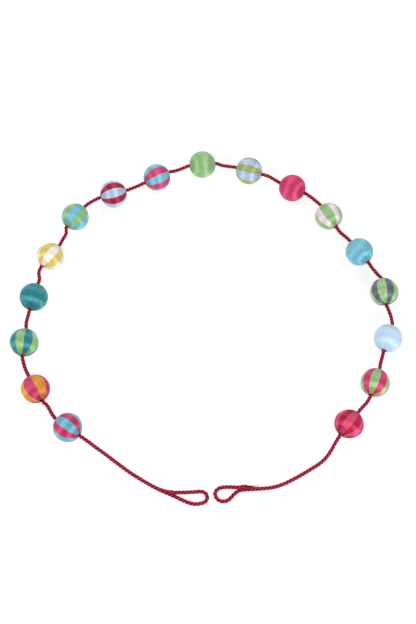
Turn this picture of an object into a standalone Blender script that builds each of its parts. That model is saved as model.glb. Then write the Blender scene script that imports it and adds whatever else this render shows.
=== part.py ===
"""Silk bauble garland: seventeen balls wound in silk thread, strung on one twisted cord.

The garland lies on a surface in an open ring. The cord runs through every ball and is turned
back on itself at each end into a hanging loop, with its tail laid along the standing cord.
The origin is on that surface, in the middle of the balls' spread, with +X across the ring
and +Y from the two loops towards the top of the ring.
"""

import math
from collections import namedtuple

import bmesh
import bpy
from mathutils import Matrix, Vector
from mathutils.geometry import interpolate_bezier

MM = 0.001
UP = Vector((0.0, 0.0, 1.0))

# Ball: a round core wound with thread, with a bore for the cord along its winding axis.
BALL_RADIUS = 0.0198
WRAP_RISE = 0.00035        # crown of the second colour, which is wound over the first
BALL_CENTRE_Z = 0.0194     # less than the radius, so each ball rests on a small flat spot
BORE_RADIUS = 0.0032
BORE_END = 0.0174          # height along the axis where the bore opens into its funnel
RING_ANGLES = (14, 30, 50, 70, 90, 110, 130, 150, 166)
PLAIN_COLUMNS = 20         # faces round a ball of one colour
COLUMNS_PER_PAIR = 4       # edge, crown, edge and middle of the bare gore between

# Cord: three strands laid up with a left-hand twist.
CORD_RADIUS = 0.00275
VALLEY_SHARE = 0.82       # radius between two strands, as a share of the cord's
STRANDS = 3
LAY_LENGTH = 0.0155        # length of cord in which a strand goes once round
STEPS_PER_LAY = 8
CURVE_STEPS = 24           # fine steps on each stretch between two route points
MOUTH = 0.0185             # distance from a ball's centre at which the cord may start to bend
GAP_SAG = 0.0015           # how far the cord sags halfway between two balls
TAIL_GAP = 0.0004          # clearance between a tail and the standing cord beside it
TAIL_TIP_SHARE = 0.15      # radius of the tail's tip, as a share of the cord's
TAIL_SPACING = 0.004       # distance along the cord between two route points of a tail
TAIL_POINTS = 5
TAIL_LENGTH = TAIL_SPACING * TAIL_POINTS
TAIL_CLIMB = math.radians(60)   # how far a tail climbs, from the standing cord's side to its top

Ball = namedtuple("Ball", "x_mm y_mm heading_deg roll_deg pairs wrap_share base wrap bows_mm")

# heading_deg: which way the cord runs through the ball, from +X towards +Y.
# roll_deg: where the middle of one wrapped gore stands, from straight up towards the right.
# pairs: how many times the two colours alternate. wrap_share: the wrapped colour's part of a pair.
# bows_mm: how far the cord after this ball lies to the left of its straight way to the next one,
# a third and two thirds of the way along.
BALLS = (
    Ball(-188, -204, 145, -1, 5, 0.53, "pink", "turquoise", (0.3, -1.3)),
    Ball(-235, -149, 120, 28, 4, 0.49, "magenta", "orange", (1.9, 2.1)),
    Ball(-255, -81, 86, -8.5, 5, 0.51, "teal", "light_green", (1.9, 1.2)),
    Ball(-246, -12, 77, 0, 0, 0.0, "teal", "teal", (-0.3, 2.8)),
    Ball(-226, 52, 54, 53.5, 5, 0.50, "white", "yellow", (-1.2, -2.7)),
    Ball(-193, 116, 52, 42, 5, 0.46, "turquoise", "green", (2.6, 2.3)),
    Ball(-138, 154, 17, 61.5, 5, 0.46, "pale_blue", "crimson", (0.2, 0.1)),
    Ball(-74, 182, 27, 39.5, 5, 0.49, "pink", "turquoise", (-0.4, 0.1)),
    Ball(-6, 204, 6, 0, 0, 0.0, "light_green", "light_green", (-0.3, 0.3)),
    Ball(64, 193, -17, 20.5, 5, 0.47, "pale_blue", "olive", (2.6, 1.7)),
    Ball(128, 164, -25, 0, 0, 0.0, "pink", "pink", (1.9, 1.8)),
    Ball(180, 117, -59, 50, 5, 0.44, "light_green", "pale_pink", (-1.2, 0.3)),
    Ball(222, 59, -54, 0, 0, 0.0, "turquoise", "turquoise", (-0.1, 0.2)),
    Ball(254, -4, -85, 54.5, 5, 0.45, "light_green", "slate", (1.9, 2.4)),
    Ball(255, -75, -111, 0, 0, 0.0, "sky_blue", "sky_blue", (-0.2, -0.4)),
    Ball(233, -140, -111, 44.5, 5, 0.50, "light_green", "magenta", (1.7, 0.6)),
    Ball(194, -199, -129, 32, 6, 0.46, "rose", "crimson", (0, 0)),
)

RoutePoint = namedtuple("RoutePoint", "x_mm y_mm z_mm")

# The cord's two ends, in the order in which the cord runs: out along one leg of the left loop,
# round it, and up to the first ball; then from the last ball down to the right loop and round it.
LEFT_END = (
    RoutePoint(-43, -290.6, 7.5),
    RoutePoint(-36, -290, 5.2),
    RoutePoint(-28, -289.4, 3.2),
    RoutePoint(-17, -288.9, 2.85),
    RoutePoint(-7, -288.2, 2.85),
    RoutePoint(-0.8, -290.8, 2.85),
    RoutePoint(1.4, -296.3, 2.85),
    RoutePoint(-1, -301.5, 2.85),
    RoutePoint(-7.4, -304.3, 2.85),
    RoutePoint(-16.4, -304.9, 2.85),
    RoutePoint(-26.4, -302.2, 2.85),
    RoutePoint(-36, -297.8, 2.85),
    RoutePoint(-46, -293.1, 2.85),
    RoutePoint(-57, -288.4, 2.85),
    RoutePoint(-68, -283.1, 2.85),
    RoutePoint(-81, -276, 2.85),
    RoutePoint(-102, -263, 2.85),
    RoutePoint(-123, -247.8, 3.05),
    RoutePoint(-140, -235.4, 5.2),
    RoutePoint(-152, -227.6, 10),
    RoutePoint(-163, -220.6, 16.5),
)
LEFT_STANDING_FROM = 12    # index in LEFT_END where the turned-back leg meets the standing cord
RIGHT_END = (
    RoutePoint(176, -222.5, 16.5),
    RoutePoint(169.5, -233, 10),
    RoutePoint(163.5, -241, 5.2),
    RoutePoint(155, -249, 3.05),
    RoutePoint(144, -256.2, 2.85),
    RoutePoint(130, -264.6, 2.85),
    RoutePoint(115, -272.8, 2.85),
    RoutePoint(101.5, -279, 2.85),
    RoutePoint(88.5, -282.7, 2.85),
    RoutePoint(75.5, -284.2, 2.85),
    RoutePoint(62.5, -285.1, 2.85),
    RoutePoint(52, -285.7, 2.85),
    RoutePoint(44.5, -287, 2.85),
    RoutePoint(38.5, -290.7, 2.85),
    RoutePoint(34.3, -295.2, 2.85),
    RoutePoint(29.5, -299.6, 2.85),
    RoutePoint(23.5, -301.5, 2.85),
    RoutePoint(17, -300, 2.85),
    RoutePoint(12.8, -295.2, 2.85),
    RoutePoint(12.2, -289.6, 2.85),
    RoutePoint(15.6, -284.8, 2.85),
    RoutePoint(23, -282.5, 3.2),
    RoutePoint(33, -282.6, 5),
    RoutePoint(43, -283.6, 7.6),
    RoutePoint(52, -282.4, 7.7),
)
RIGHT_STANDING_TO = 11     # index in RIGHT_END where the turned-back leg meets the standing cord

SILK_COLOURS = {           # red, green and blue from 0 to 255, as seen on screen
    "pink": (214, 52, 110),
    "magenta": (204, 38, 104),
    "rose": (206, 50, 96),
    "crimson": (170, 32, 60),
    "pale_pink": (238, 214, 222),
    "orange": (226, 150, 48),
    "yellow": (234, 200, 96),
    "white": (244, 243, 236),
    "olive": (158, 168, 74),
    "green": (132, 192, 100),
    "light_green": (136, 192, 108),
    "teal": (32, 128, 138),
    "turquoise": (98, 188, 212),
    "sky_blue": (184, 216, 240),
    "pale_blue": (178, 198, 240),
    "slate": (100, 104, 132),
}
CORD_COLOUR = (146, 28, 54)
SILK_ROUGHNESS = 0.38
CORD_ROUGHNESS = 0.55


def clear_scene():
    for old in list(bpy.data.objects):
        bpy.data.objects.remove(old, do_unlink=True)


def new_collection(name):
    collection = bpy.data.collections.new(name)
    bpy.context.scene.collection.children.link(collection)
    return collection


def linear(rgb):
    """A screen colour as the linear values that a shader takes."""
    def channel(value):
        share = value / 255.0
        return share / 12.92 if share <= 0.04045 else ((share + 0.055) / 1.055) ** 2.4
    return tuple(channel(value) for value in rgb) + (1.0,)


def thread_material(name, rgb, roughness):
    material = bpy.data.materials.new(name)
    material.use_nodes = True
    shader = material.node_tree.nodes["Principled BSDF"]
    shader.inputs["Base Color"].default_value = linear(rgb)
    shader.inputs["Roughness"].default_value = roughness
    shader.inputs["Metallic"].default_value = 0.0
    material.diffuse_color = linear(rgb)
    return material


# ---------------------------------------------------------------- balls

def ball_axis(ball):
    """Unit vector along which the cord runs through a ball."""
    angle = math.radians(ball.heading_deg)
    return Vector((math.cos(angle), math.sin(angle), 0.0))


def ball_centre(ball):
    return Vector((ball.x_mm * MM, ball.y_mm * MM, BALL_CENTRE_Z))


def ball_matrix(ball):
    """Local Z along the bore and local X through the middle of a wrapped gore."""
    axis = ball_axis(ball)
    right = axis.cross(UP)
    roll = math.radians(ball.roll_deg)
    local_x = UP * math.cos(roll) + right * math.sin(roll)
    local_y = axis.cross(local_x)
    turn = Matrix((local_x, local_y, axis)).transposed()
    return Matrix.Translation(ball_centre(ball)) @ turn.to_4x4()


def ball_profile():
    """Half section of a ball, from one end of its bore over the outside to the other end."""
    outside = []
    for degrees in RING_ANGLES:
        angle = math.radians(degrees)
        outside.append((BALL_RADIUS * math.sin(angle), BALL_RADIUS * math.cos(angle)))
    return [(BORE_RADIUS, BORE_END)] + outside + [(BORE_RADIUS, -BORE_END)]


def revolve(profile, columns):
    """Turn a closed half section round local Z."""
    mesh = bmesh.new()
    corners = [mesh.verts.new((radius, 0.0, height)) for radius, height in profile]
    edges = [mesh.edges.new(pair) for pair in zip(corners, corners[1:] + corners[:1])]
    bmesh.ops.spin(mesh, geom=corners + edges, cent=(0, 0, 0), axis=(0, 0, 1),
                   angle=2 * math.pi, steps=columns, use_merge=True)
    bmesh.ops.remove_doubles(mesh, verts=mesh.verts[:], dist=1e-6)
    bmesh.ops.recalc_face_normals(mesh, faces=mesh.faces[:])
    return mesh


def shape_gores(mesh, ball):
    """Set the columns on the gores' edges and raise the crown of each wrapped gore."""
    pair_angle = 2 * math.pi / ball.pairs
    column_angle = pair_angle / COLUMNS_PER_PAIR
    half_wrap = ball.wrap_share * pair_angle / 2
    place_in_pair = (0.0, half_wrap, pair_angle / 2, pair_angle - half_wrap)
    for vert in mesh.verts:
        column = round(math.atan2(vert.co.y, vert.co.x) / column_angle) % (
            COLUMNS_PER_PAIR * ball.pairs)
        pair, step = divmod(column, COLUMNS_PER_PAIR)
        angle = pair * pair_angle + place_in_pair[step]
        radius = math.hypot(vert.co.x, vert.co.y)
        on_outside = radius > BORE_RADIUS * 1.01
        if on_outside and step == 0:
            grown = vert.co.length + WRAP_RISE
            radius *= grown / vert.co.length
            vert.co.z *= grown / vert.co.length
        vert.co.x = radius * math.cos(angle)
        vert.co.y = radius * math.sin(angle)


def colour_gores(mesh, ball):
    """Give the faces of the wrapped gores the second material."""
    pair_angle = 2 * math.pi / ball.pairs
    half_wrap = ball.wrap_share * pair_angle / 2
    for face in mesh.faces:
        middle = face.calc_center_median()
        angle = math.atan2(middle.y, middle.x) % pair_angle
        if min(angle, pair_angle - angle) < half_wrap:
            face.material_index = 1


def cut_flat_spot(mesh, matrix):
    """Cut the ball level with the surface that it rests on, and close the cut."""
    to_local = matrix.inverted()
    cut_point = to_local @ Vector((matrix.translation.x, matrix.translation.y, 0.0))
    down = to_local.to_3x3() @ -UP
    bmesh.ops.bisect_plane(mesh, geom=mesh.verts[:] + mesh.edges[:] + mesh.faces[:], dist=1e-7,
                           plane_co=cut_point, plane_no=down, clear_outer=True)
    rim = [edge for edge in mesh.edges if edge.is_boundary]
    bmesh.ops.holes_fill(mesh, edges=rim, sides=0)


def make_ball(number, ball, materials, collection):
    mesh = revolve(ball_profile(), COLUMNS_PER_PAIR * ball.pairs or PLAIN_COLUMNS)
    if ball.pairs:
        shape_gores(mesh, ball)
        colour_gores(mesh, ball)
    matrix = ball_matrix(ball)
    cut_flat_spot(mesh, matrix)
    name = f"ball_{number:02d}"
    data = bpy.data.meshes.new(name)
    mesh.to_mesh(data)
    mesh.free()
    data.materials.append(materials[ball.base])
    if ball.pairs:
        data.materials.append(materials[ball.wrap])
    data.shade_smooth()
    data.set_sharp_from_angle(angle=math.radians(40))
    obj = bpy.data.objects.new(name, data)
    obj.matrix_world = matrix
    collection.objects.link(obj)
    return obj


# ---------------------------------------------------------------- cord

Knot = namedtuple("Knot", "place direction in_bore")
# in_bore is true for the knot from which the cord runs straight through a ball.


def end_knots(points):
    return [Knot(Vector(point) * MM, None, False) for point in points]


def ball_knots(index):
    """The cord's way through one ball, then its sagging, bowed way through the gap after it."""
    ball = BALLS[index]
    axis = ball_axis(ball)
    centre = ball_centre(ball)
    knots = [Knot(centre - axis * MOUTH, axis, True), Knot(centre + axis * MOUTH, axis, False)]
    if index + 1 < len(BALLS):
        after = BALLS[index + 1]
        leave = centre + axis * MOUTH
        enter = ball_centre(after) - ball_axis(after) * MOUTH
        left = UP.cross(enter - leave).normalized()
        for third, bow in enumerate(ball.bows_mm, start=1):
            place = leave.lerp(enter, third / 3) + left * bow * MM - UP * GAP_SAG * 8 / 9
            knots.append(Knot(place, None, False))
    return knots


def knot_direction(knots, index):
    """A knot's own direction, or that of its two neighbours."""
    if knots[index].direction:
        return knots[index].direction
    before = knots[max(index - 1, 0)].place
    after = knots[min(index + 1, len(knots) - 1)].place
    return (after - before).normalized()


def smooth_stretch(knots, index):
    """Points of the smooth curve from one knot to the next, the first one included."""
    start, end = knots[index].place, knots[index + 1].place
    if knots[index].in_bore:
        return [start]
    reach = (end - start).length / 3
    curve = interpolate_bezier(start, start + knot_direction(knots, index) * reach,
                               end - knot_direction(knots, index + 1) * reach, end,
                               CURVE_STEPS + 1)
    return curve[:-1]


def even_points(line, spacing):
    """The same line with equal steps of about the given spacing."""
    lengths = [0.0]
    for first, second in zip(line, line[1:]):
        lengths.append(lengths[-1] + (second - first).length)
    count = max(1, round(lengths[-1] / spacing))
    points = []
    segment = 0
    for step in range(count + 1):
        target = lengths[-1] * step / count
        while segment < len(line) - 2 and lengths[segment + 1] < target:
            segment += 1
        share = (target - lengths[segment]) / (lengths[segment + 1] - lengths[segment])
        points.append(line[segment].lerp(line[segment + 1], share))
    return points


def exposed_stretches(knots):
    """The cord outside the balls, as one evenly stepped line for each stretch."""
    lines = [[]]
    for index in range(len(knots) - 1):
        if knots[index].in_bore:
            lines[-1].append(knots[index].place)
            lines.append([])
        else:
            lines[-1].extend(smooth_stretch(knots, index))
    lines[-1].append(knots[-1].place)
    return [even_points(line, LAY_LENGTH / STEPS_PER_LAY) for line in lines]


def tail_share(progress):
    """Radius of a tail as a share of the cord's: it narrows quickly, then runs on thin."""
    remaining = 1.0 - min(max(progress, 0.0), 1.0)
    return TAIL_TIP_SHARE + (1.0 - TAIL_TIP_SHARE) * remaining ** 1.5


def tail_knots(standing, side):
    """Knots of a tail that narrows over the given line's side, from its thick end to its tip."""
    knots = []
    for step in range(1, TAIL_POINTS + 1):
        along = (standing[step + 1] - standing[step - 1]).normalized()
        beside = UP.cross(along).normalized() * side
        radius = CORD_RADIUS * tail_share(step / TAIL_POINTS)
        away = beside * math.cos(TAIL_CLIMB) + UP * math.sin(TAIL_CLIMB)
        place = standing[step] + away * (CORD_RADIUS + TAIL_GAP + radius)
        knots.append(Knot(place, None, False))
    return knots


def standing_line(points):
    """The standing cord from where a leg meets it, in steps of one tail point."""
    knots = end_knots(points)
    line = []
    for index in range(len(knots) - 1):
        line.extend(smooth_stretch(knots, index))
    line.append(knots[-1].place)
    return even_points(line, TAIL_SPACING)


def cord_knots():
    """The whole route: left tail, left loop, balls, right loop and right tail."""
    left_tail = tail_knots(standing_line(LEFT_END[LEFT_STANDING_FROM:]), -1)
    right_tail = tail_knots(standing_line(RIGHT_END[RIGHT_STANDING_TO::-1]), 1)
    knots = left_tail[::-1] + end_knots(LEFT_END)
    for index in range(len(BALLS)):
        knots.extend(ball_knots(index))
    return knots + end_knots(RIGHT_END) + right_tail


def line_length(points):
    return sum((second - first).length for first, second in zip(points, points[1:]))


def cord_points():
    """Place, twist and share of the full radius at each section of the cord."""
    stretches = exposed_stretches(cord_knots())
    points = []
    twist = 0.0
    for number, stretch in enumerate(stretches):
        length = line_length(stretch)
        travelled = 0.0
        for index, place in enumerate(stretch):
            step = (place - stretch[index - 1]).length if index else 0.0
            travelled += step
            from_tip = TAIL_LENGTH
            if number == 0:
                from_tip = travelled
            elif number == len(stretches) - 1:
                from_tip = length - travelled
            if from_tip >= TAIL_LENGTH:
                twist -= 2 * math.pi * step / LAY_LENGTH
            points.append((place, twist, tail_share(1.0 - from_tip / TAIL_LENGTH)))
    return points


def cord_section(collection):
    """Closed outline across the cord: a ridge for each strand and a valley between."""
    curve = bpy.data.curves.new("cord_section", "CURVE")
    curve.dimensions = "2D"
    spline = curve.splines.new("POLY")
    corners = 2 * STRANDS
    spline.points.add(corners - 1)
    for index, point in enumerate(spline.points):
        radius = CORD_RADIUS if index % 2 == 0 else CORD_RADIUS * VALLEY_SHARE
        angle = -2 * math.pi * index / corners
        point.co = (radius * math.cos(angle), radius * math.sin(angle), 0.0, 1.0)
    spline.use_cyclic_u = True
    guide = bpy.data.objects.new("cord_section", curve)
    guide.hide_render = True
    guide.display_type = "WIRE"
    collection.objects.link(guide)
    return guide


def make_cord(collection, guides):
    curve = bpy.data.curves.new("cord", "CURVE")
    curve.dimensions = "3D"
    curve.twist_mode = "MINIMUM"
    curve.bevel_mode = "OBJECT"
    curve.bevel_object = cord_section(guides)
    curve.use_fill_caps = True
    points = cord_points()
    spline = curve.splines.new("POLY")
    spline.points.add(len(points) - 1)
    for point, (place, twist, radius) in zip(spline.points, points):
        point.co = (*place, 1.0)
        point.tilt = math.remainder(twist, 2 * math.pi)
        point.radius = radius
    curve.materials.append(thread_material("cord_wine", CORD_COLOUR, CORD_ROUGHNESS))
    cord = bpy.data.objects.new("cord", curve)
    collection.objects.link(cord)
    return cord


def main():
    clear_scene()
    parts = new_collection("silk_bauble_garland")
    guides = new_collection("guides")
    materials = {name: thread_material(f"silk_{name}", rgb, SILK_ROUGHNESS)
                 for name, rgb in SILK_COLOURS.items()}
    for number, ball in enumerate(BALLS, start=1):
        make_ball(number, ball, materials, parts)
    make_cord(parts, guides)


main()
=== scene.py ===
"""Silk bauble garland: seventeen balls wound in silk thread, strung on one twisted silk cord.

The file is laid out as an add-on. Its sizes and colours are scene properties, and one operator
each makes the stage, the cord and the balls. Everything is in metres, in the solids' own frame:
the garland lies on a surface at height zero, with +Y from its two loops to the far side.
"""

import math
from collections import namedtuple
import bpy
import numpy as np
from bpy.props import FloatProperty, FloatVectorProperty, IntProperty, PointerProperty
from mathutils import Matrix, Vector
from mathutils.geometry import interpolate_bezier


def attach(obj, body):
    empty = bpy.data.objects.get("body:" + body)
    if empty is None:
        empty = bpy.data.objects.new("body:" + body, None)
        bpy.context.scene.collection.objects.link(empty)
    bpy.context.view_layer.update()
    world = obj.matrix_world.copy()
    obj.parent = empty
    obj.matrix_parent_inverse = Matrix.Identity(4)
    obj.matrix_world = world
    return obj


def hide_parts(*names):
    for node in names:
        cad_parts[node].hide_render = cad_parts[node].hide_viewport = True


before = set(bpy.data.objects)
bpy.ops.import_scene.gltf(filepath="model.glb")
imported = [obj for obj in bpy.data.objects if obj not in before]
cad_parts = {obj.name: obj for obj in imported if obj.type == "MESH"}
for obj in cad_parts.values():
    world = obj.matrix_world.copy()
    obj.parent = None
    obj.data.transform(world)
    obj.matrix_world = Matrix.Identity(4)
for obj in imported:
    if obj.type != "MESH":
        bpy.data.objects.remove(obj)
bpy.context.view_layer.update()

bl_info = {
    "name": "Silk Bauble Garland",
    "version": (1, 0, 0),
    "blender": (4, 5, 0),
    "location": "3D View > Sidebar > Garland",
    "description": "Balls wound in silk thread on a twisted silk cord, lying in an open ring",
    "category": "Add Mesh",
}

UP = Vector((0.0, 0.0, 1.0))

Ball = namedtuple("Ball", "x y heading roll pairs wrap_share base wrap bows roundness shade",
                  defaults=(1.0,))

# heading: which way the cord runs through the ball, in degrees from +X towards +Y.
# roll: where the middle of one wrapped gore stands, in degrees from straight up to the right.
# pairs: how many times the two colours alternate. wrap_share: the wrapped colour's part of them.
# bows: how far the cord after this ball lies to the left of its straight way to the next one,
# a third and two thirds of the way along.
# roundness: 2 for a true sphere, less where the gathered thread draws the ball to a point.
# shade: how much lighter or darker a ball is made than the common colours; 1 where not given.
BALLS = (
    Ball(-0.188, -0.204, 145, -1, 5, 0.53, "pink", "turquoise", (0.0003, -0.0013), 1.93, 0.89),
    Ball(-0.235, -0.149, 120, 28, 4, 0.49, "magenta", "orange", (0.0019, 0.0021), 1.96, 0.96),
    Ball(-0.255, -0.081, 86, -8.5, 5, 0.51, "teal", "light_green", (0.0019, 0.0012), 2.0),
    Ball(-0.246, -0.012, 77, 0, 0, 0.0, "teal", "teal", (-0.0003, 0.0028), 2.04),
    Ball(-0.226, 0.052, 54, 53.5, 5, 0.50, "white", "yellow", (-0.0012, -0.0027), 1.9, 0.97),
    Ball(-0.193, 0.116, 52, 42, 5, 0.46, "turquoise", "green", (0.0026, 0.0023), 1.93),
    Ball(-0.138, 0.154, 17, 61.5, 5, 0.46, "pale_blue", "crimson", (0.0002, 0.0001), 1.94),
    Ball(-0.074, 0.182, 27, 39.5, 5, 0.49, "pink", "turquoise", (-0.0004, 0.0001), 1.97, 1.04),
    Ball(-0.006, 0.204, 6, 0, 0, 0.0, "light_green", "light_green", (-0.0003, 0.0003), 2.03),
    Ball(0.064, 0.193, -17, 20.5, 5, 0.47, "pale_blue", "olive", (0.0026, 0.0017), 1.99),
    Ball(0.128, 0.164, -25, 0, 0, 0.0, "pink", "pink", (0.0019, 0.0018), 2.0),
    Ball(0.180, 0.117, -59, 50, 5, 0.44, "light_green", "pale_pink", (-0.0012, 0.0003), 1.97),
    Ball(0.222, 0.059, -54, 0, 0, 0.0, "turquoise", "turquoise", (-0.0001, 0.0002), 2.02),
    Ball(0.254, -0.004, -85, 54.5, 5, 0.45, "light_green", "slate", (0.0019, 0.0024), 2.0, 1.07),
    Ball(0.255, -0.075, -111, 0, 0, 0.0, "sky_blue", "sky_blue", (-0.0002, -0.0004), 2.04),
    Ball(0.233, -0.140, -111, 44.5, 5, 0.50, "light_green", "magenta", (0.0017, 0.0006), 1.97),
    Ball(0.194, -0.199, -129, 32, 6, 0.46, "rose", "ruby", (0.0, 0.0), 1.92),
)

# The cord's two ends in the order in which it runs: out along one leg of the left loop, round it
# and up to the first ball; then from the last ball down to the right loop and round it.
LEFT_END = (
    (-0.043, -0.2906, 0.0075), (-0.036, -0.290, 0.0052), (-0.028, -0.2894, 0.0032),
    (-0.017, -0.2889, 0.00285), (-0.007, -0.2882, 0.00285), (-0.0008, -0.2908, 0.00285),
    (0.0014, -0.2963, 0.00285), (-0.001, -0.3015, 0.00285), (-0.0074, -0.3043, 0.00285),
    (-0.0164, -0.3049, 0.00285), (-0.0264, -0.3022, 0.00285), (-0.036, -0.2978, 0.00285),
    (-0.046, -0.2931, 0.00285), (-0.057, -0.2884, 0.00285), (-0.068, -0.2831, 0.00285),
    (-0.081, -0.276, 0.00285), (-0.102, -0.263, 0.00285), (-0.123, -0.2478, 0.00305),
    (-0.140, -0.2354, 0.0052), (-0.152, -0.2276, 0.010), (-0.163, -0.2206, 0.0165),
)
RIGHT_END = (
    (0.176, -0.2225, 0.0165), (0.1695, -0.233, 0.010), (0.1635, -0.241, 0.0052),
    (0.155, -0.249, 0.00305), (0.144, -0.2562, 0.00285), (0.130, -0.2646, 0.00285),
    (0.115, -0.2728, 0.00285), (0.1015, -0.279, 0.00285), (0.0885, -0.2827, 0.00285),
    (0.0755, -0.2842, 0.00285), (0.0625, -0.2851, 0.00285), (0.052, -0.2857, 0.00285),
    (0.0445, -0.287, 0.00285), (0.0385, -0.2907, 0.00285), (0.0343, -0.2952, 0.00285),
    (0.0295, -0.2996, 0.00285), (0.0235, -0.3015, 0.00285), (0.017, -0.300, 0.00285),
    (0.0128, -0.2952, 0.00285), (0.0122, -0.2896, 0.00285), (0.0156, -0.2848, 0.00285),
    (0.023, -0.2825, 0.0032), (0.033, -0.2826, 0.005), (0.043, -0.2836, 0.0076),
    (0.052, -0.2824, 0.0077),
)
# The point of each end from which its tail lies along the standing cord.
LEFT_STANDING_FROM = 12
RIGHT_STANDING_TO = 11

CURVE_STEPS = 24                # points of the curve from one knot of the route to the next
POINTS_IN_LAY = 16              # points of the even line in one lay length
SAG_AT_THIRD = 8 / 9            # share of its sag that a slack cord has at a third of its span
TAIL_POINTS = 5
TAIL_NARROWING = 1.5            # more makes a tail narrow sooner


# ---------------------------------------------------------------- sizes and colours

def colour_property(name, description, red, green, blue):
    """A colour property whose default is given from 0 to 255, as seen on screen."""
    def linear(value):
        share = value / 255
        return share / 12.92 if share <= 0.04045 else ((share + 0.055) / 1.055) ** 2.4
    return FloatVectorProperty(name=name, description=description, subtype="COLOR", size=3,
                               min=0.0, max=1.0,
                               default=(linear(red), linear(green), linear(blue)))


class SilkColours(bpy.types.PropertyGroup):
    pink: colour_property("Pink", "Deep pink silk", 206, 60, 119)
    magenta: colour_property("Magenta", "Magenta silk", 199, 58, 116)
    rose: colour_property("Rose", "Rose silk of the last ball", 209, 71, 123)
    crimson: colour_property("Crimson", "Crimson silk", 165, 8, 54)
    ruby: colour_property("Ruby", "Ruby silk of the last ball", 176, 0, 66)
    pale_pink: colour_property("Pale Pink", "Palest pink silk", 225, 214, 217)
    orange: colour_property("Orange", "Orange silk", 220, 159, 48)
    yellow: colour_property("Yellow", "Warm yellow silk", 223, 199, 107)
    white: colour_property("White", "Natural white silk", 239, 236, 230)
    olive: colour_property("Olive", "Olive green silk", 160, 173, 108)
    green: colour_property("Green", "Leaf green silk", 145, 183, 126)
    light_green: colour_property("Light Green", "Light green silk", 150, 186, 131)
    teal: colour_property("Teal", "Teal silk", 45, 136, 144)
    turquoise: colour_property("Turquoise", "Turquoise silk", 122, 187, 204)
    sky_blue: colour_property("Sky Blue", "Sky blue silk", 186, 212, 230)
    pale_blue: colour_property("Pale Blue", "Pale lavender blue silk", 180, 199, 227)
    slate: colour_property("Slate", "Slate grey silk", 100, 104, 117)
    cord: colour_property("Cord", "Wine red silk of the cord", 155, 5, 47)


class BallSizes(bpy.types.PropertyGroup):
    radius: FloatProperty(
        name="Radius", description="Radius of a ball over its wound thread",
        default=0.0198, min=0.01, max=0.03, precision=4, unit="LENGTH")
    centre_height: FloatProperty(
        name="Centre Height", description="Height of a ball's centre above the surface it lies on",
        default=0.0194, min=0.009, max=0.03, precision=4, unit="LENGTH")
    bore_radius: FloatProperty(
        name="Bore Radius", description="Radius of the way for the cord",
        default=0.0031, min=0.002, max=0.006, precision=4, unit="LENGTH")
    threads: IntProperty(
        name="Threads", description="Wound threads that lie side by side round a ball",
        default=84, min=24, max=160)
    thread_relief: FloatProperty(
        name="Thread Relief", description="Height of a thread above the groove beside it",
        default=0.00016, min=0.0, max=0.0006, precision=5, unit="LENGTH")
    unevenness: FloatProperty(
        name="Unevenness", description="Height of the swells where thread lies thicker",
        default=0.00008, min=0.0, max=0.001, precision=5, unit="LENGTH")
    drift: FloatProperty(
        name="Drift", description="How far a thread strays from its straight way",
        default=0.005, min=0.0, max=0.05, subtype="ANGLE")
    wrap_edge: FloatProperty(
        name="Wrap Edge", description="Height of a wrapped gore at its edges",
        default=0.0001, min=0.0, max=0.001, precision=5, unit="LENGTH")
    wrap_crown: FloatProperty(
        name="Wrap Crown", description="Height of a wrapped gore along its middle",
        default=0.00042, min=0.0, max=0.0015, precision=5, unit="LENGTH")


class CordSizes(bpy.types.PropertyGroup):
    radius: FloatProperty(
        name="Radius", description="Radius of the cord over its strands",
        default=0.00275, min=0.001, max=0.006, precision=5, unit="LENGTH")
    length: FloatProperty(
        name="Length", description="Length of the cord from tip to tip",
        default=1.74, min=0.5, max=5.0, unit="LENGTH")
    lay_length: FloatProperty(
        name="Lay Length", description="Length of cord in which a strand goes once round",
        default=0.0155, min=0.005, max=0.05, precision=4, unit="LENGTH")
    mouth: FloatProperty(
        name="Mouth", description="Distance from a ball's centre at which the cord may bend",
        default=0.0185, min=0.01, max=0.03, precision=4, unit="LENGTH")
    sag: FloatProperty(
        name="Sag", description="How far the cord sags halfway between two balls",
        default=0.0015, min=0.0, max=0.01, precision=4, unit="LENGTH")
    tail_spacing: FloatProperty(
        name="Tail Spacing", description="Distance along the cord between a tail's points",
        default=0.004, min=0.001, max=0.01, precision=4, unit="LENGTH")
    tail_gap: FloatProperty(
        name="Tail Gap", description="Room between a tail and the standing cord",
        default=0.0004, min=0.0, max=0.002, precision=5, unit="LENGTH")
    tail_climb: FloatProperty(
        name="Tail Climb", description="How far a tail climbs from the standing cord's side",
        default=math.radians(60), min=0.0, max=math.pi / 2, subtype="ANGLE")
    tail_tip: FloatProperty(
        name="Tail Tip", description="Radius of a tail's tip as a share of the cord's",
        default=0.15, min=0.05, max=1.0, subtype="FACTOR")


class StageSettings(bpy.types.PropertyGroup):
    aim: FloatVectorProperty(
        name="Aim", description="The point at which the camera looks",
        default=(0.0024, -0.0273, 0.0), size=3, subtype="TRANSLATION")
    height_angle: FloatProperty(
        name="Height Angle", description="The camera's angle above the surface",
        default=math.radians(68), subtype="ANGLE")
    distance: FloatProperty(
        name="Distance", description="The camera's distance from its aim",
        default=1.495, min=0.2, max=10.0, unit="LENGTH")
    lens: FloatProperty(
        name="Lens", description="Focal length in millimetres", default=60.0, min=10.0, max=300.0)
    key_power: FloatProperty(
        name="Key Power", description="Power of the main soft light in watts",
        default=29.0, min=0.0, max=500.0)
    side_power: FloatProperty(
        name="Side Power", description="Power of the soft light from the left in watts",
        default=19.0, min=0.0, max=500.0)
    far_power: FloatProperty(
        name="Far Power", description="Power of the weak soft light from the far side in watts",
        default=15.0, min=0.0, max=500.0)
    surround: FloatProperty(
        name="Surround", description="Strength of the even light from all round",
        default=0.43, min=0.0, max=5.0)


# ---------------------------------------------------------------- shader maths

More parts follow.
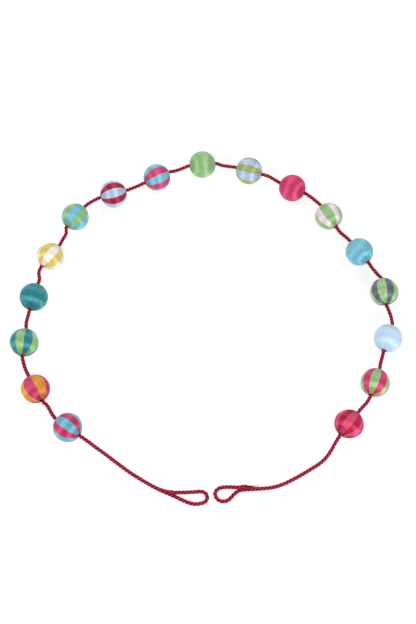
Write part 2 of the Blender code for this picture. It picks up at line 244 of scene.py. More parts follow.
class Wire:
    """One output socket. Arithmetic on one that holds a number adds Math nodes."""

    def __init__(self, shader, socket):
        self.shader = shader
        self.socket = socket

    def reckon(self, operation, first, second):
        inputs = {0: first, 1: second}
        return self.shader.node("ShaderNodeMath", {"operation": operation}, inputs)

    def __add__(self, other):
        return self.reckon("ADD", self, other)

    def __radd__(self, other):
        return self.reckon("ADD", other, self)

    def __sub__(self, other):
        return self.reckon("SUBTRACT", self, other)

    def __rsub__(self, other):
        return self.reckon("SUBTRACT", other, self)

    def __mul__(self, other):
        return self.reckon("MULTIPLY", self, other)

    def __rmul__(self, other):
        return self.reckon("MULTIPLY", other, self)

    def __truediv__(self, other):
        return self.reckon("DIVIDE", self, other)

    def __rtruediv__(self, other):
        return self.reckon("DIVIDE", other, self)

    def __pow__(self, other):
        return self.reckon("POWER", self, other)

    def __rpow__(self, other):
        return self.reckon("POWER", other, self)


class Shader:
    """The nodes of one material or world, which all lead to the last of its shader nodes."""

    def __init__(self, owner, last):
        owner.use_nodes = True
        self.owner = owner
        self.tree = owner.node_tree
        self.last = self.tree.nodes[last]

    def node(self, kind, settings, inputs, output=0):
        """A node with its settings set first, then its sockets' values or links."""
        node = self.tree.nodes.new(kind)
        for name, value in settings.items():
            setattr(node, name, value)
        for key, value in inputs.items():
            self.feed(node.inputs[key], value)
        return Wire(self, node.outputs[output])

    def feed(self, socket, value):
        """Link a socket to a wire, or set its constant."""
        if isinstance(value, Wire):
            self.tree.links.new(value.socket, socket)
        else:
            socket.default_value = value

    def attribute(self, name, output="Fac"):
        """A value that each point of the mesh holds."""
        return self.node("ShaderNodeAttribute", {"attribute_name": name}, {}, output)

    def place(self, output):
        """The numbers of one of the texture coordinates."""
        return self.parts(self.node("ShaderNodeTexCoord", {}, {}, output))

    def parts(self, vector):
        """The three numbers of a vector."""
        node = self.node("ShaderNodeSeparateXYZ", {}, {0: vector}).socket.node
        return [Wire(self, output) for output in node.outputs]

    def mix(self, factor, first, second, blend="MIX"):
        """Colours mixed, or blended in another way; Mix's sockets 6 and 7 are its two colours."""
        settings = {"data_type": "RGBA", "blend_type": blend}
        return self.node("ShaderNodeMix", settings, {0: factor, 6: first, 7: second}, 2)

    def lit(self, colour, light):
        """A colour made lighter or darker by a number."""
        return self.mix(1.0, colour, light, "MULTIPLY")

    def noise(self, place, scale, detail):
        """Soft noise, from 0 to 1."""
        inputs = {"Vector": place, "Scale": scale, "Detail": detail, "Roughness": 0.55}
        return self.node("ShaderNodeTexNoise", {}, inputs, "Fac")

    def bump(self, strength, distance, height):
        """A normal for relief that is too fine for the mesh."""
        inputs = {"Strength": strength, "Distance": distance, "Height": height}
        return self.node("ShaderNodeBump", {}, inputs, "Normal")

    def between(self, value, low, high, to_low, to_high):
        """The value's place between low and high, carried over to another pair of numbers."""
        inputs = {"Value": value, "From Min": low, "From Max": high,
                  "To Min": to_low, "To Max": to_high}
        return self.node("ShaderNodeMapRange", {"clamp": True}, inputs, "Result")

    def finish(self, **sockets):
        """Feed the last node's sockets, named with underscores for their spaces."""
        for name, value in sockets.items():
            self.feed(self.last.inputs[name.replace("_", " ")], value)
        return self.owner


def surface_shader(name):
    """The shader of a new material."""
    return Shader(bpy.data.materials.new(name), "Principled BSDF")


# ---------------------------------------------------------------- silk

NOISE_SPAN = (0.3, 0.7)         # nearly all values of a noise

# How much a thread reflects in its own colour; every other thread reflects LUSTRE.
LUSTRE = 0.3
LUSTRES = {"white": 0.35, "ruby": 0.45, "teal": 0.4, "slate": 0.45, "sky_blue": 0.1}

Noise = namedtuple("Noise", "rate scale detail")

# Noises drawn out along a ball's threads. rate: steps for each metre along the bore, against one
# for each radian round it; the lower it is, the longer the streaks.
FILAMENTS = Noise(9.0, 60.0, 3.0)
HANKS = Noise(9.0, 11.0, 2.0)
PATCHES = Noise(22.0, 17.0, 2.0)
SWELLS = Noise(45.0, 5.0, 2.0)
OWN_STEP = 3.7                  # steps along the noises from one ball's part of them to the next

# How far a ball's colour goes towards its deep one, where 1 is all the way: in the grooves between
# threads and near the bores this is painted shade, in hanks and patches it is tone that differs at
# random. The spans are the values of a noise that count as darkest and lightest.
GROOVE_SHADE_DEPTH = 0.3
HANK_SPAN, HANK_DEPTHS = (0.3, 0.55), (0.4, 0.0)
PATCH_SPAN, PATCH_DEPTHS = (0.35, 0.5), (0.7, 0.0)
POLE_SHADE_SPAN, POLE_SHADE_DEPTHS = (0.42, 0.55), (1.5, 0.5)
BALL_SHADE_DEPTH = 2.5
PALE_COVER = 0.8                # share of this that the palest silk hides
DEEP_POWER = 0.7                # more makes a deep colour more saturated

# How light a ball's silk is against its colour; near the bores it is darkened as painted shade.
FILAMENT_LIGHT = 1.02
LEAST_GRAIN, MORE_GRAIN = 0.05, 0.17        # of the palest silk, and what the darkest has more
TONE_FALL = 2.0                             # the paler silk is, the less its threads differ
LIT_PATCH_SPAN, PATCH_LIGHTS = (0.4, 0.7), (0.97, 1.07)
# Painted shade near a bore, strongest in dark silk.
POLE_SHADE_LIGHTS = (-0.5, -0.2)                  # what is lost near a bore in dark silk

# Painted sheen at a ball's rim, where threads are seen from the side: how far their surface turns
# away, which filaments show it most, and the grey that a colour is drawn towards, which is darker
# for a pale thread, so that there it is painted rim shade.
EDGE_SPAN, EDGE_RIM_SHEENS = (0.35, 0.85), (0.0, 1.0)
RIM_SHEEN_SPAN, FILAMENT_RIM_SHEENS = (0.4, 0.6), (0.3, 1.0)
RIM_SHEEN_GREY, RIM_SHEEN_GREY_FALL = 0.85, 0.5
RIM_SHEEN_SHARE = 0.6                # of the way, times the colour's green

HUES = (0.493, 0.507)                       # of thinner and thicker swells; 0.5 changes nothing
GLOSS, PALE_GLOSS_LOSS = 0.9, 0.3
WOUND_BUMP = (0.6, 0.0007)                  # strength, and height in metres
FILAMENT_HEIGHT = 0.15                      # against the swells' height of 1

# The cord: tint of the painted highlight along its strands' crowns, how narrow it is, and the
# share of the colour left in the painted shade of its grooves.
CORD_FILAMENTS, CORD_LUMPS = (1.0, 2.0), (0.3, 1.0)     # scale and detail
CROWN_HIGHLIGHT_TINT = 0.04
CROWN_HIGHLIGHT_POWER = 3.0
CORD_GROOVE_SHADE = 0.42
CORD_FILAMENT_LIGHTS = (0.8, 1.25)
LUMP_SPAN, LUMP_LIGHTS = (0.35, 0.65), (0.85, 1.15)
STRAND_LIGHTS = (0.9, 1.1)
CORD_BUMP = (0.8, 0.0002)


def opaque(colour):
    """A colour with its fourth value, as a socket takes it."""
    return (*colour, 1.0)


def tint(colour, share):
    """A colour drawn towards white by the given share."""
    return tuple(channel + (1 - channel) * share for channel in colour)


def saturated(colour):
    """The deeper colour of light that has met the thread twice, as bright as after once."""
    return tuple(channel * (channel / max(colour)) ** DEEP_POWER for channel in colour)


def rim_sheen_and_shade(colour):
    """Painted sheen of threads seen from the side: paler and greyer, strongest for a pale thread,
    which it darkens as painted rim shade.
    """
    grey, share = RIM_SHEEN_GREY - RIM_SHEEN_GREY_FALL * min(colour), RIM_SHEEN_SHARE * colour[1]
    return tuple(channel + (grey - channel) * share for channel in colour)


def wound_noises(shader):
    """The filaments, hanks, patches and swells of one ball's threads."""
    x, y, z = shader.place("Object")
    out = (x * x + y * y) ** 0.5
    cosine, sine = x / out, y / out
    own = shader.attribute("ball_number") * OWN_STEP
    noises = []
    for noise in (FILAMENTS, HANKS, PATCHES, SWELLS):
        sockets = {0: cosine, 1: sine, 2: z * noise.rate + own}
        wound = shader.node("ShaderNodeCombineXYZ", {}, sockets)
        noises.append(shader.noise(wound, noise.scale, noise.detail))
    return noises


def silk_depth(shader, hanks, patches, pale):
    """How far the silk's colour goes towards its deep one: painted shade in the grooves and near
    the bores, random tone in hanks and patches, and each ball's shade value.
    """
    between = shader.between
    # Painted shade in the grooves and near the bores; hanks and patches are tone that differs at
    # random.
    grooves = shader.attribute("groove") * GROOVE_SHADE_DEPTH
    poles = shader.attribute("near_pole") * between(hanks, *POLE_SHADE_SPAN, *POLE_SHADE_DEPTHS)
    shaded = (grooves + between(hanks, *HANK_SPAN, *HANK_DEPTHS)
              + between(patches, *PATCH_SPAN, *PATCH_DEPTHS) + poles)
    return shaded * (1 - PALE_COVER * pale) + (1 - shader.attribute("shade")) * BALL_SHADE_DEPTH


def silk_light(shader, filaments, hanks, patches, pale):
    """How light the silk is: it differs at random by filament, thread and patch, is set for each
    ball by its shade value, and is darkened near the bores as painted shade.
    """
    between = shader.between
    grain = LEAST_GRAIN + MORE_GRAIN * (1 - pale)
    tones = grain * max(0.0, 1 - TONE_FALL * pale)
    # Painted shade near the bores, strongest in dark silk.
    bore_shade_losses = [light * (1 - pale) ** 2 for light in POLE_SHADE_LIGHTS]
    return (between(filaments, *NOISE_SPAN, FILAMENT_LIGHT - grain, FILAMENT_LIGHT + grain)
            * between(patches, *LIT_PATCH_SPAN, *PATCH_LIGHTS)
            * shader.attribute("shade")
            * (shader.attribute("thread_tone") * tones + 1 - tones / 2)
            * (shader.attribute("near_pole") * between(hanks, *POLE_SHADE_SPAN, *bore_shade_losses) + 1))


def wound_silk(name, base, wrap, lustres):
    """Thread wound from pole to pole: its filaments, hanks and two colours, with painted shade in
    its grooves and near its bores, and painted sheen at its rim.
    """
    shader = surface_shader(name)
    between = shader.between
    pale = min(base)
    filaments, hanks, patches, swells = wound_noises(shader)
    over = shader.attribute("wound_over")
    colour, deep, rim_sheen_colour = (shader.mix(over, opaque(look(base)), opaque(look(wrap)))
                          for look in (tuple, saturated, rim_sheen_and_shade))
    # Painted sheen where the surface turns away at the rim; on a pale thread it is painted rim
    # shade.
    facing = shader.node("ShaderNodeLayerWeight", {}, {"Blend": 0.5}, "Facing")
    rim_sheen_amount = (between(facing, *EDGE_SPAN, *EDGE_RIM_SHEENS)
            * between(filaments, *RIM_SHEEN_SPAN, *FILAMENT_RIM_SHEENS))
    colour = shader.mix(silk_depth(shader, hanks, patches, pale), colour, deep)
    colour = shader.mix(rim_sheen_amount, colour, rim_sheen_colour)
    hue = between(swells, *NOISE_SPAN, *HUES)
    colour = shader.node("ShaderNodeHueSaturation", {}, {"Hue": hue, "Color": colour}, "Color")
    return shader.finish(
        Base_Color=shader.lit(colour, silk_light(shader, filaments, hanks, patches, pale)),
        Normal=shader.bump(*WOUND_BUMP, filaments * FILAMENT_HEIGHT + swells),
        Roughness=between(filaments, *NOISE_SPAN, 0.45, 0.54),
        Metallic=over * (lustres[1] - lustres[0]) + lustres[0],
        Anisotropic=1.0,
        Specular_IOR_Level=GLOSS - PALE_GLOSS_LOSS * pale)


def cord_silk(name, colour):
    """Fine filaments that run along each strand, with painted shade where the strands meet and a
    painted highlight along each strand's crown.
    """
    shader = surface_shader(name)
    between = shader.between
    place = shader.attribute("strand_place", "Vector")
    filaments = shader.noise(place, *CORD_FILAMENTS)
    lumps = shader.noise(place, *CORD_LUMPS)
    groove = shader.attribute("groove")
    # Painted shade where the strands meet, and a painted highlight along each strand's crown.
    deep = tuple(channel * CORD_GROOVE_SHADE for channel in colour)
    body = shader.mix(groove, opaque(colour), opaque(deep))
    body = shader.mix((1 - groove) ** CROWN_HIGHLIGHT_POWER, body, opaque(tint(colour, CROWN_HIGHLIGHT_TINT)))
    light = (between(filaments, *NOISE_SPAN, *CORD_FILAMENT_LIGHTS)
             * between(lumps, *LUMP_SPAN, *LUMP_LIGHTS)
             * between(shader.attribute("thread_tone"), 0.0, 1.0, *STRAND_LIGHTS))
    return shader.finish(
        Base_Color=shader.lit(body, light),
        Normal=shader.bump(*CORD_BUMP, filaments),
        Roughness=between(filaments, *NOISE_SPAN, 0.42, 0.52),
        Metallic=0.3,
        Specular_IOR_Level=0.05)


# ---------------------------------------------------------------- meshes

def grid_faces(rows, columns, first=0):
    """Quads between the rows of points of a tube; each row's last point meets its first."""
    row, column = np.meshgrid(np.arange(rows - 1), np.arange(columns), indexing="ij")
    after = (column + 1) % columns
    corners = (row * columns + column, row * columns + after,
               (row + 1) * columns + after, (row + 1) * columns + column)
    return (np.stack(corners, axis=-1).reshape(-1, 4) + first).tolist()


def new_piece(name, points, faces, material, attributes):
    """A smooth mesh object with one value of each attribute for each point."""
    mesh = bpy.data.meshes.new(name)
    mesh.from_pydata(points.tolist(), [], faces)
    mesh.materials.append(material)
    mesh.shade_smooth()
    for label, values in attributes.items():
        kind = "FLOAT_VECTOR" if values.ndim == 2 else "FLOAT"
        key = "vector" if values.ndim == 2 else "value"
        layer = mesh.attributes.new(label, kind, "POINT")
        layer.data.foreach_set(key, values.astype(np.float32).ravel())
    mesh.validate()
    piece = bpy.data.objects.new(name, mesh)
    bpy.context.scene.collection.objects.link(piece)
    return piece


# ---------------------------------------------------------------- route of the cord

Knot = namedtuple("Knot", "place direction", defaults=(None,))


def ball_axis(ball):
    """The level direction in which the cord runs through a ball."""
    angle = math.radians(ball.heading)
    return Vector((math.cos(angle), math.sin(angle), 0.0))


def ball_centre(ball, sizes):
    return Vector((ball.x, ball.y, sizes.centre_height))


def end_knots(points):
    """Knots of one of the cord's ends, which take their direction from their neighbours."""
    return [Knot(Vector(point)) for point in points]


def ball_knots(index, ball_sizes, cord_sizes):
    """The way through one ball, then the sagging, bowed way through the gap after it."""
    ball = BALLS[index]
    axis = ball_axis(ball)
    leave = ball_centre(ball, ball_sizes) + axis * cord_sizes.mouth
    knots = [Knot(leave - axis * cord_sizes.mouth * 2, axis), Knot(leave, axis)]
    if index + 1 < len(BALLS):
        after = BALLS[index + 1]
        enter = ball_centre(after, ball_sizes) - ball_axis(after) * cord_sizes.mouth
        left = UP.cross(enter - leave).normalized()
        for third, bow in enumerate(ball.bows, start=1):
            place = leave.lerp(enter, third / 3) + left * bow - UP * cord_sizes.sag * SAG_AT_THIRD
            knots.append(Knot(place))
    return knots


def knot_direction(knots, index):
    """The way through a knot: its own, or else along its two neighbours."""
    if knots[index].direction:
        return knots[index].direction
    before = knots[max(index - 1, 0)].place
    after = knots[min(index + 1, len(knots) - 1)].place
    return (after - before).normalized()


def smooth_line(knots):
    """Points of one smooth curve through the knots."""
    line = []
    for index in range(len(knots) - 1):
        start, end = knots[index].place, knots[index + 1].place
        reach = (end - start).length / 3
        curve = interpolate_bezier(start, start + knot_direction(knots, index) * reach,
                                   end - knot_direction(knots, index + 1) * reach, end,
                                   CURVE_STEPS + 1)
        line.extend(curve[:-1])
    line.append(knots[-1].place)
    return np.array(line)


def distances(line):
    """How far along the line each of its points lies."""
    steps = np.linalg.norm(np.diff(line, axis=0), axis=1)
    return np.concatenate(([0.0], np.cumsum(steps)))


def even_line(line, spacing):
    """The same line with equal steps of about the given spacing."""
    along = distances(line)
    targets = np.linspace(0.0, along[-1], max(1, round(along[-1] / spacing)) + 1)
    return np.stack([np.interp(targets, along, line[:, axis]) for axis in range(3)], axis=1)


def tail_share(progress, tip):
    """Radius of a tail as a share of the cord's: it narrows quickly, then runs on thin."""
    remaining = 1.0 - np.clip(progress, 0.0, 1.0)
    return tip + (1.0 - tip) * remaining ** TAIL_NARROWING


def tail_knots(points, side, sizes):
    """Knots of a tail that narrows over the standing cord's side, from thick end to tip."""
    standing = [Vector(place) for place in even_line(smooth_line(end_knots(points)),
                                                     sizes.tail_spacing)]
    knots = []
    for step in range(1, TAIL_POINTS + 1):
        along = (standing[step + 1] - standing[step - 1]).normalized()
        beside = UP.cross(along).normalized() * side
        radius = sizes.radius * tail_share(step / TAIL_POINTS, sizes.tail_tip)
        away = beside * math.cos(sizes.tail_climb) + UP * math.sin(sizes.tail_climb)
        place = standing[step] + away * (sizes.radius + sizes.tail_gap + radius)
        knots.append(Knot(place))
    return knots


def cord_line(ball_sizes, cord_sizes):
    """The cord's whole middle line: left tail, left loop, balls, right loop, right tail."""
    left_tail = tail_knots(LEFT_END[LEFT_STANDING_FROM:], -1, cord_sizes)
    right_tail = tail_knots(RIGHT_END[RIGHT_STANDING_TO::-1], 1, cord_sizes)
    knots = left_tail[::-1] + end_knots(LEFT_END)
    for index in range(len(BALLS)):
        knots.extend(ball_knots(index, ball_sizes, cord_sizes))
    knots += end_knots(RIGHT_END) + right_tail
    return even_line(smooth_line(knots), cord_sizes.lay_length / POINTS_IN_LAY)


# ---------------------------------------------------------------- cord

STRANDS = 3
STRAND_SIDES = 12
STRAND_ANGLES = 2 * math.pi * np.arange(STRAND_SIDES) / STRAND_SIDES    # 0 faces outwards
STRAND_OFFSET_SHARE = 0.54      # strand's middle from the cord's, as a share of the cord's radius
STRAND_DEPTH_SHARE = 0.46       # half depth of a strand, from the cord's middle outwards
STRAND_WIDTH_SHARE = 0.53       # half width of a strand, round the cord
TAIL_FAN = (0.45, 1.02, 1.6)    # angles from the standing cord's side at which tail strands lie
TAIL_STRAND_LIFT = 0.4          # how far a tail strand's middle stands off the standing cord
# Painted shade in the grooves between strands:
GROOVE_SHADE_SPREAD = 1.2             # more lets the grooves' colour reach further up a strand
FILAMENTS_ROUND = 9.0           # steps of the filaments' noise from a strand's middle to its skin
FILAMENTS_ALONG = 260.0         # steps of the filaments' noise for each metre of cord
STRAND_SEED = 5
STRAND_TONES = (0.2, 0.8)


def unit(vectors):
    """The same directions, each of length 1."""
    return vectors / np.linalg.norm(vectors, axis=-1, keepdims=True)


def carried_frame(line):
    """Directions along the line, and two across it that don't twist on the way."""
    along = unit(np.gradient(line, axis=0))
    across = np.empty_like(along)
    across[0] = unit(np.cross((0.0, 0.0, 1.0), along[0]))
    for index in range(1, len(line)):
        carried = across[index - 1] - along[index] * (across[index - 1] @ along[index])
        across[index] = carried / np.linalg.norm(carried)
    return along, across, np.cross(along, across)


def tail_progress(travelled, length, tail_length):
    """From 0 where a tail starts to 1 at its tip, on both ends of the cord."""
    from_tip = np.minimum(travelled, length - travelled)
    return np.clip(1.0 - from_tip / tail_length, 0.0, 1.0)


def strand_lines(line, sizes):
    """Each strand's middle line: laid up left-handed, then fanned out over the standing cord."""
    along, across, upward = carried_frame(line)
    travelled = distances(line)
    length = travelled[-1]
    tail_length = sizes.tail_spacing * TAIL_POINTS
    progress = tail_progress(travelled, length, tail_length)
    share = tail_share(progress, sizes.tail_tip)
    turned = np.clip(travelled, tail_length, length - tail_length) - tail_length
    twist = -2 * math.pi * turned / sizes.lay_length
    ease = progress ** 2 * (3 - 2 * progress)       # starts and ends gently
    up = np.array((0.0, 0.0, 1.0))
    level = unit(np.cross(up, along))
    on_right = (travelled > length / 2)[:, None]
    beside = np.where(on_right, -level, level)
    climb = math.cos(sizes.tail_climb) * beside + math.sin(sizes.tail_climb) * up
    standing = line - climb * (sizes.radius * (1 + share) + sizes.tail_gap)[:, None]
    strands = []
    for number in range(STRANDS):
        angle = (twist + 2 * math.pi * number / STRANDS)[:, None]
        outward = np.cos(angle) * across + np.sin(angle) * upward
        laid = line + outward * (sizes.radius * STRAND_OFFSET_SHARE * share)[:, None]
        fan = math.cos(TAIL_FAN[number]) * beside + math.sin(TAIL_FAN[number]) * up
        reach = sizes.radius * (1 + TAIL_STRAND_LIFT * share)
        fanned = standing + fan * reach[:, None]
        strands.append((laid + (fanned - laid) * ease[:, None],
                        unit(outward + (fan - outward) * ease[:, None])))
    return strands, share, travelled


def strand_points(middle, outward, share, sizes):
    """Rings of points round one strand, flattened where it lies against the others."""
    along = unit(np.gradient(middle, axis=0))
    sideways = unit(np.cross(along, outward))
    outward = np.cross(sideways, along)
    depth = (sizes.radius * STRAND_DEPTH_SHARE * share)[:, None, None]
    width = (sizes.radius * STRAND_WIDTH_SHARE * share)[:, None, None]
    rings = (middle[:, None, :]
             + np.cos(STRAND_ANGLES)[None, :, None] * depth * outward[:, None, :]
             + np.sin(STRAND_ANGLES)[None, :, None] * width * sideways[:, None, :])
    return rings.reshape(-1, 3)


def strand_faces(rows, first):
    """A strand's sides and its two ends, for points that start at the given number."""
    last = first + (rows - 1) * STRAND_SIDES
    ends = [list(range(first + STRAND_SIDES - 1, first - 1, -1)),
            list(range(last, last + STRAND_SIDES))]
    return grid_faces(rows, STRAND_SIDES, first) + ends


def filament_places(travelled):
    """Where each point of a strand lies in the filaments' noise: round it, then along it."""
    places = np.empty((len(travelled), STRAND_SIDES, 3))
    places[:, :, 0] = np.cos(STRAND_ANGLES) * FILAMENTS_ROUND
    places[:, :, 1] = np.sin(STRAND_ANGLES) * FILAMENTS_ROUND
    places[:, :, 2] = travelled[:, None] * FILAMENTS_ALONG
    return places.reshape(-1, 3)


def make_cord(ball_sizes, sizes, material):
    """The whole cord as one piece of three strands."""
    line = cord_line(ball_sizes, sizes)
    strands, share, travelled = strand_lines(line, sizes)
    rng = np.random.default_rng(STRAND_SEED)
    rows = len(line)
    in_strand = rows * STRAND_SIDES
    faces = []
    for number in range(STRANDS):
        faces.extend(strand_faces(rows, number * in_strand))
    # How far each point faces in towards the other strands, where painted shade goes.
    groove_shade = np.clip(GROOVE_SHADE_SPREAD * (1 - np.cos(STRAND_ANGLES)), 0.0, 1.0)
    points = [strand_points(middle, outward, share, sizes) for middle, outward in strands]
    piece = new_piece("silk_cord", np.concatenate(points), faces, material, {
        "groove": np.tile(groove_shade, rows * STRANDS),
        "thread_tone": rng.uniform(*STRAND_TONES, STRANDS).repeat(in_strand),
        "strand_place": np.tile(filament_places(travelled), (STRANDS, 1)),
    })
    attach(piece, "root")
    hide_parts("cord")
    sizes.radius * 2


# ---------------------------------------------------------------- balls

THREAD_PROFILE = (0.0, 0.72, 1.0, 0.72)    # height across a thread, from its groove
POLE_ANGLE = math.radians(13)              # where the outside gives way to the funnel
OUTSIDE_ROWS = 42
RELIEF_FALL = 0.8                          # how early the relief falls off towards the poles
# The mask of the painted shade near the bores, worked out from the relief.
POLE_REACH, POLE_FALL = 2.3, 2.6           # near_pole is POLE_REACH - POLE_FALL * relief
THREAD_HEIGHTS = (0.7, 1.25)

# The funnel's rows from the bore out to the rim: how deep they lie, and their share of the
# relief. The first two belong to the bore, which flares a little. The others' radii are shares
# of the rim's.
FUNNEL_DEPTHS = (0.0045, 0.0022, 0.0009, 0.0003)
FUNNEL_RELIEF = (0.0, 0.1, 0.2, 0.28)
BORE_FLARE = 0.0001
FUNNEL_RIM_SHARES = (0.80, 0.90)

# Swells round a ball: waves round it, and half waves along its threads.
WINDING_WAVES = ((2, 1), (3, 2), (5, 3), (8, 3), (13, 4), (21, 5))


def ball_matrix(ball, sizes):
    """Local Z along the bore, local X straight up and local Y to the right of the way."""
    axis = ball_axis(ball)
    turn = Matrix((UP, axis.cross(UP), axis)).transposed()
    return Matrix.Translation(ball_centre(ball, sizes)) @ turn.to_4x4()


def ball_rows(ball, sizes):
    """The section from pole to pole: each row's radius, height, and share of the relief."""
    angles = np.linspace(POLE_ANGLE, math.pi - POLE_ANGLE, OUTSIDE_ROWS)
    power = ball.roundness
    spread = np.sin(angles) ** power + np.abs(np.cos(angles)) ** power
    reach = sizes.radius * spread ** (-1 / power)
    radius, height = reach * np.sin(angles), reach * np.cos(angles)
    relief = np.sin(angles) ** RELIEF_FALL
    rim, top = radius[0], height[0]
    funnel_radius = np.array((sizes.bore_radius, sizes.bore_radius + BORE_FLARE,
                              *(rim * share for share in FUNNEL_RIM_SHARES)))
    funnel_height = top - np.array(FUNNEL_DEPTHS)
    return (np.concatenate((funnel_radius, radius, funnel_radius[::-1])),
            np.concatenate((funnel_height, height, -funnel_height[::-1])),
            np.concatenate((FUNNEL_RELIEF, relief, FUNNEL_RELIEF[::-1])))


def thread_columns(ball, sizes, rng):
    """What each column round a ball has: its angle, its place across its thread from groove to
    crown, its height, its thread's tone, whether it is wound over, and its place in the gore."""
    if ball.pairs:
        in_pair = round(sizes.threads / ball.pairs)
        wrapped = round(in_pair * ball.wrap_share)
        pair_angle = 2 * math.pi / ball.pairs
        half_wrap = ball.wrap_share * pair_angle / 2
        wrap_edges = np.linspace(-half_wrap, half_wrap, wrapped + 1)
        base_edges = np.linspace(half_wrap, pair_angle - half_wrap, in_pair - wrapped + 1)
        one_pair = np.concatenate((wrap_edges[:-1], base_edges[:-1]))
        starts = (np.arange(ball.pairs)[:, None] * pair_angle + one_pair).ravel()
        over = np.tile(np.arange(in_pair) < wrapped, ball.pairs)
        across = np.tile(np.concatenate((wrap_edges[:-1] / half_wrap,
                                         np.ones(in_pair - wrapped))), ball.pairs)
    else:
        starts = 2 * math.pi * np.arange(sizes.threads) / sizes.threads
        over = np.zeros(sizes.threads, dtype=bool)
        across = np.ones(sizes.threads)
    starts = starts + math.radians(ball.roll)
    widths = np.diff(np.append(starts, starts[0] + 2 * math.pi))
    repeat = len(THREAD_PROFILE)
    angles = (starts[:, None] + widths[:, None] * np.arange(repeat) / repeat).ravel()
    profile = np.tile(THREAD_PROFILE, len(starts))
    tone = rng.uniform(0.0, 1.0, len(starts)).repeat(repeat)
    height = rng.uniform(*THREAD_HEIGHTS, len(starts)).repeat(repeat) * profile
    return angles, profile, height, tone, over.repeat(repeat), across.repeat(repeat)


def uneven_winding(angles, latitude, rng):
    """Low swells, at most about 1 high, where the thread lies thicker or thinner."""
    swell = 0.0
    for around, along in WINDING_WAVES:
        first, second = rng.uniform(0.0, 2 * math.pi, 2)
        swell = swell + (np.sin(around * angles + first)[None, :]
                         * np.sin(along * latitude + second)[:, None]) / math.sqrt(around)
    return swell / 2


def wound_surface(ball, sizes, rng):
    """Points of the wound thread in the ball's own axes, row by row, and what each one holds."""
    radius, z, relief = ball_rows(ball, sizes)
    angles, profile, height, tone, over, across = thread_columns(ball, sizes, rng)
    lift = over * (sizes.wrap_edge
                   + (sizes.wrap_crown - sizes.wrap_edge) * (1 - across ** 2))
    latitude = np.arctan2(radius, z)
    uneven = uneven_winding(angles, latitude, rng) * sizes.unevenness
    raised = relief[:, None] * ((height * sizes.thread_relief + lift)[None, :] + uneven)
    grown = 1 + (raised - sizes.thread_relief / 2) / np.hypot(radius, z)[:, None]
    in_thread = len(THREAD_PROFILE)
    drift = rng.normal(0.0, sizes.drift, len(angles) // in_thread).repeat(in_thread)
    turned = angles[None, :] + drift[None, :] * np.sin(2 * latitude)[:, None]
    points = np.stack([radius[:, None] * grown * np.cos(turned),
                       radius[:, None] * grown * np.sin(turned),
                       z[:, None] * grown], axis=-1)
    rows = len(radius)
    return points, {
        # These mark where painted shade goes: in the grooves between threads, and near the bores.
        "groove": np.tile(1.0 - profile, rows),
        "near_pole": np.clip(POLE_REACH - POLE_FALL * relief, 0.0, 1.0).repeat(len(angles)),
        "thread_tone": np.tile(tone, rows),
        "wound_over": np.tile(over.astype(float), rows),
        "shade": np.full(rows * len(angles), ball.shade),
    }


def pressed_flat(points, matrix):
    """The same points, with those that would sink below the surface lifted onto it."""
    turn, centre = np.array(matrix.to_3x3()), np.array(matrix.translation)
    placed = points @ turn.T + centre
    placed[:, 2] = np.maximum(placed[:, 2], 0.0)
    return (placed - centre) @ turn


def ball_faces(rows, columns):
    """The outside and both funnels, then the bore, which joins the last row to the first."""
    column = np.arange(columns)
    after = (column + 1) % columns
    last = (rows - 1) * columns
    bore = np.stack((last + column, last + after, after, column), axis=-1)
    return grid_faces(rows, columns) + bore.tolist()


def make_ball(number, ball, sizes, material):
    """One ball wound in thread, lying on the surface with the cord's way through it."""
    points, attributes = wound_surface(ball, sizes, np.random.default_rng(number))
    rows, columns = points.shape[:2]
    attributes["ball_number"] = np.full(rows * columns, float(number))
    matrix = ball_matrix(ball, sizes)
    piece = new_piece(f"wound_ball_{number:02d}", pressed_flat(points.reshape(-1, 3), matrix),
                      ball_faces(rows, columns), material, attributes)
    piece.matrix_world = matrix
    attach(piece, "root")
    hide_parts(f"ball_{number:02d}")


# ---------------------------------------------------------------- stage

# Name, place and width of each soft light.
LIGHTS = (
    ("key", (1.0, -1.39, 1.02), 1.3),
    ("side", (-1.55, -0.58, 1.12), 1.3),
    ("far", (0.0, 1.55, 1.26), 1.8),
)
SURROUND_TILT = 0.5             # share by which the even light is stronger from the far side
FLOOR_HALF_WIDTH = 20.0
FLOOR_HEIGHT = -0.0002
FLOOR_GREY = 0.35
FLOOR_GLOW = 0.72


def soft_light(name, place, size, power):
    """A round light that looks at the middle of the surface."""
    data = bpy.data.lights.new(name, "AREA")
    data.shape = "DISK"
    data.size = size
    data.energy = power
    light = bpy.data.objects.new(name, data)
    light.location = place
    light.rotation_euler = (-light.location).to_track_quat("-Z", "Y").to_euler()
    bpy.context.scene.collection.objects.link(light)


def make_camera(settings):
    """The camera, straight on from the side of the two loops."""
    data = bpy.data.cameras.new("camera")
    data.lens = settings.lens
    data.sensor_width = 36.0
    camera = bpy.data.objects.new("camera", data)
    angle = settings.height_angle
    back = Vector((0.0, -math.cos(angle), math.sin(angle)))
    camera.location = Vector(settings.aim) + back * settings.distance
    camera.rotation_euler = (math.pi / 2 - angle, 0.0, 0.0)
    bpy.context.scene.collection.objects.link(camera)
    bpy.context.scene.camera = camera


def make_floor():
    """A wide pale surface that glows a little, so that shadows on it are faint."""
    size = FLOOR_HALF_WIDTH
    corners = ((-size, -size), (size, -size), (size, size), (-size, size))
    points = np.array([(x, y, FLOOR_HEIGHT) for x, y in corners])
    material = surface_shader("pale_floor").finish(
        Base_Color=opaque((FLOOR_GREY,) * 3), Roughness=0.9, Specular_IOR_Level=0.1,
        Emission_Color=opaque((1.0, 1.0, 1.0)), Emission_Strength=FLOOR_GLOW)
    floor = new_piece("pale_floor", points, [(0, 1, 2, 3)], material, {})


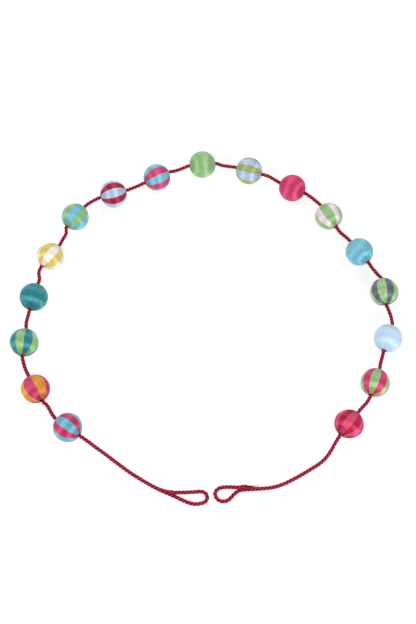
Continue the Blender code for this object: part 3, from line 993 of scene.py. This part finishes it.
def make_surround(strength):
    """Even light from all round, weaker from the near side than from the far side."""
    shader = Shader(bpy.data.worlds.new("even_light"), "Background")
    towards_far = shader.place("Generated")[1]
    weak, strong = strength * (1 - SURROUND_TILT), strength * (1 + SURROUND_TILT)
    tilted = shader.between(towards_far, -1.0, 1.0, weak, strong)
    return shader.finish(Color=opaque((1.0, 1.0, 1.0)), Strength=tilted)


# ---------------------------------------------------------------- operators and panel

class GARLAND_OT_stage(bpy.types.Operator):
    """Make the camera, the pale floor and the soft lights"""

    bl_idname = "garland.stage"
    bl_label = "Make Stage"

    def execute(self, context):
        settings = context.scene.garland_stage
        make_camera(settings)
        make_floor()
        for name, place, size in LIGHTS:
            soft_light(f"{name}_light", place, size, getattr(settings, f"{name}_power"))
        context.scene.world = make_surround(settings.surround)
        context.scene.view_settings.view_transform = "Standard"
        return {"FINISHED"}


class GARLAND_OT_cord(bpy.types.Operator):
    """Make the twisted cord with its two loops"""

    bl_idname = "garland.cord"
    bl_label = "Make Cord"

    def execute(self, context):
        scene = context.scene
        material = cord_silk("twisted_silk", scene.garland_colours.cord)
        make_cord(scene.garland_balls, scene.garland_cord, material)
        return {"FINISHED"}


class GARLAND_OT_balls(bpy.types.Operator):
    """Make the seventeen wound balls"""

    bl_idname = "garland.balls"
    bl_label = "Make Balls"

    def execute(self, context):
        scene = context.scene
        colours = scene.garland_colours
        materials = {}
        for number, ball in enumerate(BALLS, start=1):
            pair = (ball.base, ball.wrap)
            if pair not in materials:
                name = "silk_" + "_and_".join(dict.fromkeys(pair))
                lustres = [LUSTRES.get(thread, LUSTRE) for thread in pair]
                materials[pair] = wound_silk(name, getattr(colours, ball.base),
                                             getattr(colours, ball.wrap), lustres)
            make_ball(number, ball, scene.garland_balls, materials[pair])
        return {"FINISHED"}


class GARLAND_PT_sizes(bpy.types.Panel):
    """Sizes, colours and steps of the garland"""

    bl_label = "Silk Bauble Garland"
    bl_space_type = "VIEW_3D"
    bl_region_type = "UI"
    bl_category = "Garland"

    def draw(self, context):
        layout = self.layout
        scene = context.scene
        for group in (scene.garland_balls, scene.garland_cord,
                      scene.garland_colours, scene.garland_stage):
            box = layout.box()
            for name in group.bl_rna.properties.keys():
                if name not in {"rna_type", "name"}:
                    box.prop(group, name)
        for operator in (GARLAND_OT_stage, GARLAND_OT_cord, GARLAND_OT_balls):
            layout.operator(operator.bl_idname)


CLASSES = (SilkColours, BallSizes, CordSizes, StageSettings,
           GARLAND_OT_stage, GARLAND_OT_cord, GARLAND_OT_balls, GARLAND_PT_sizes)
GROUPS = {"garland_colours": SilkColours, "garland_balls": BallSizes,
          "garland_cord": CordSizes, "garland_stage": StageSettings}


def register():
    for cls in CLASSES:
        bpy.utils.register_class(cls)
    for name, group in GROUPS.items():
        setattr(bpy.types.Scene, name, PointerProperty(type=group))


def unregister():
    for name in GROUPS:
        delattr(bpy.types.Scene, name)
    for cls in reversed(CLASSES):
        bpy.utils.unregister_class(cls)


def main():
    """Make the whole scene."""
    register()
    bpy.ops.garland.stage()
    bpy.ops.garland.cord()
    bpy.ops.garland.balls()


if __name__ == "__main__":
    main()
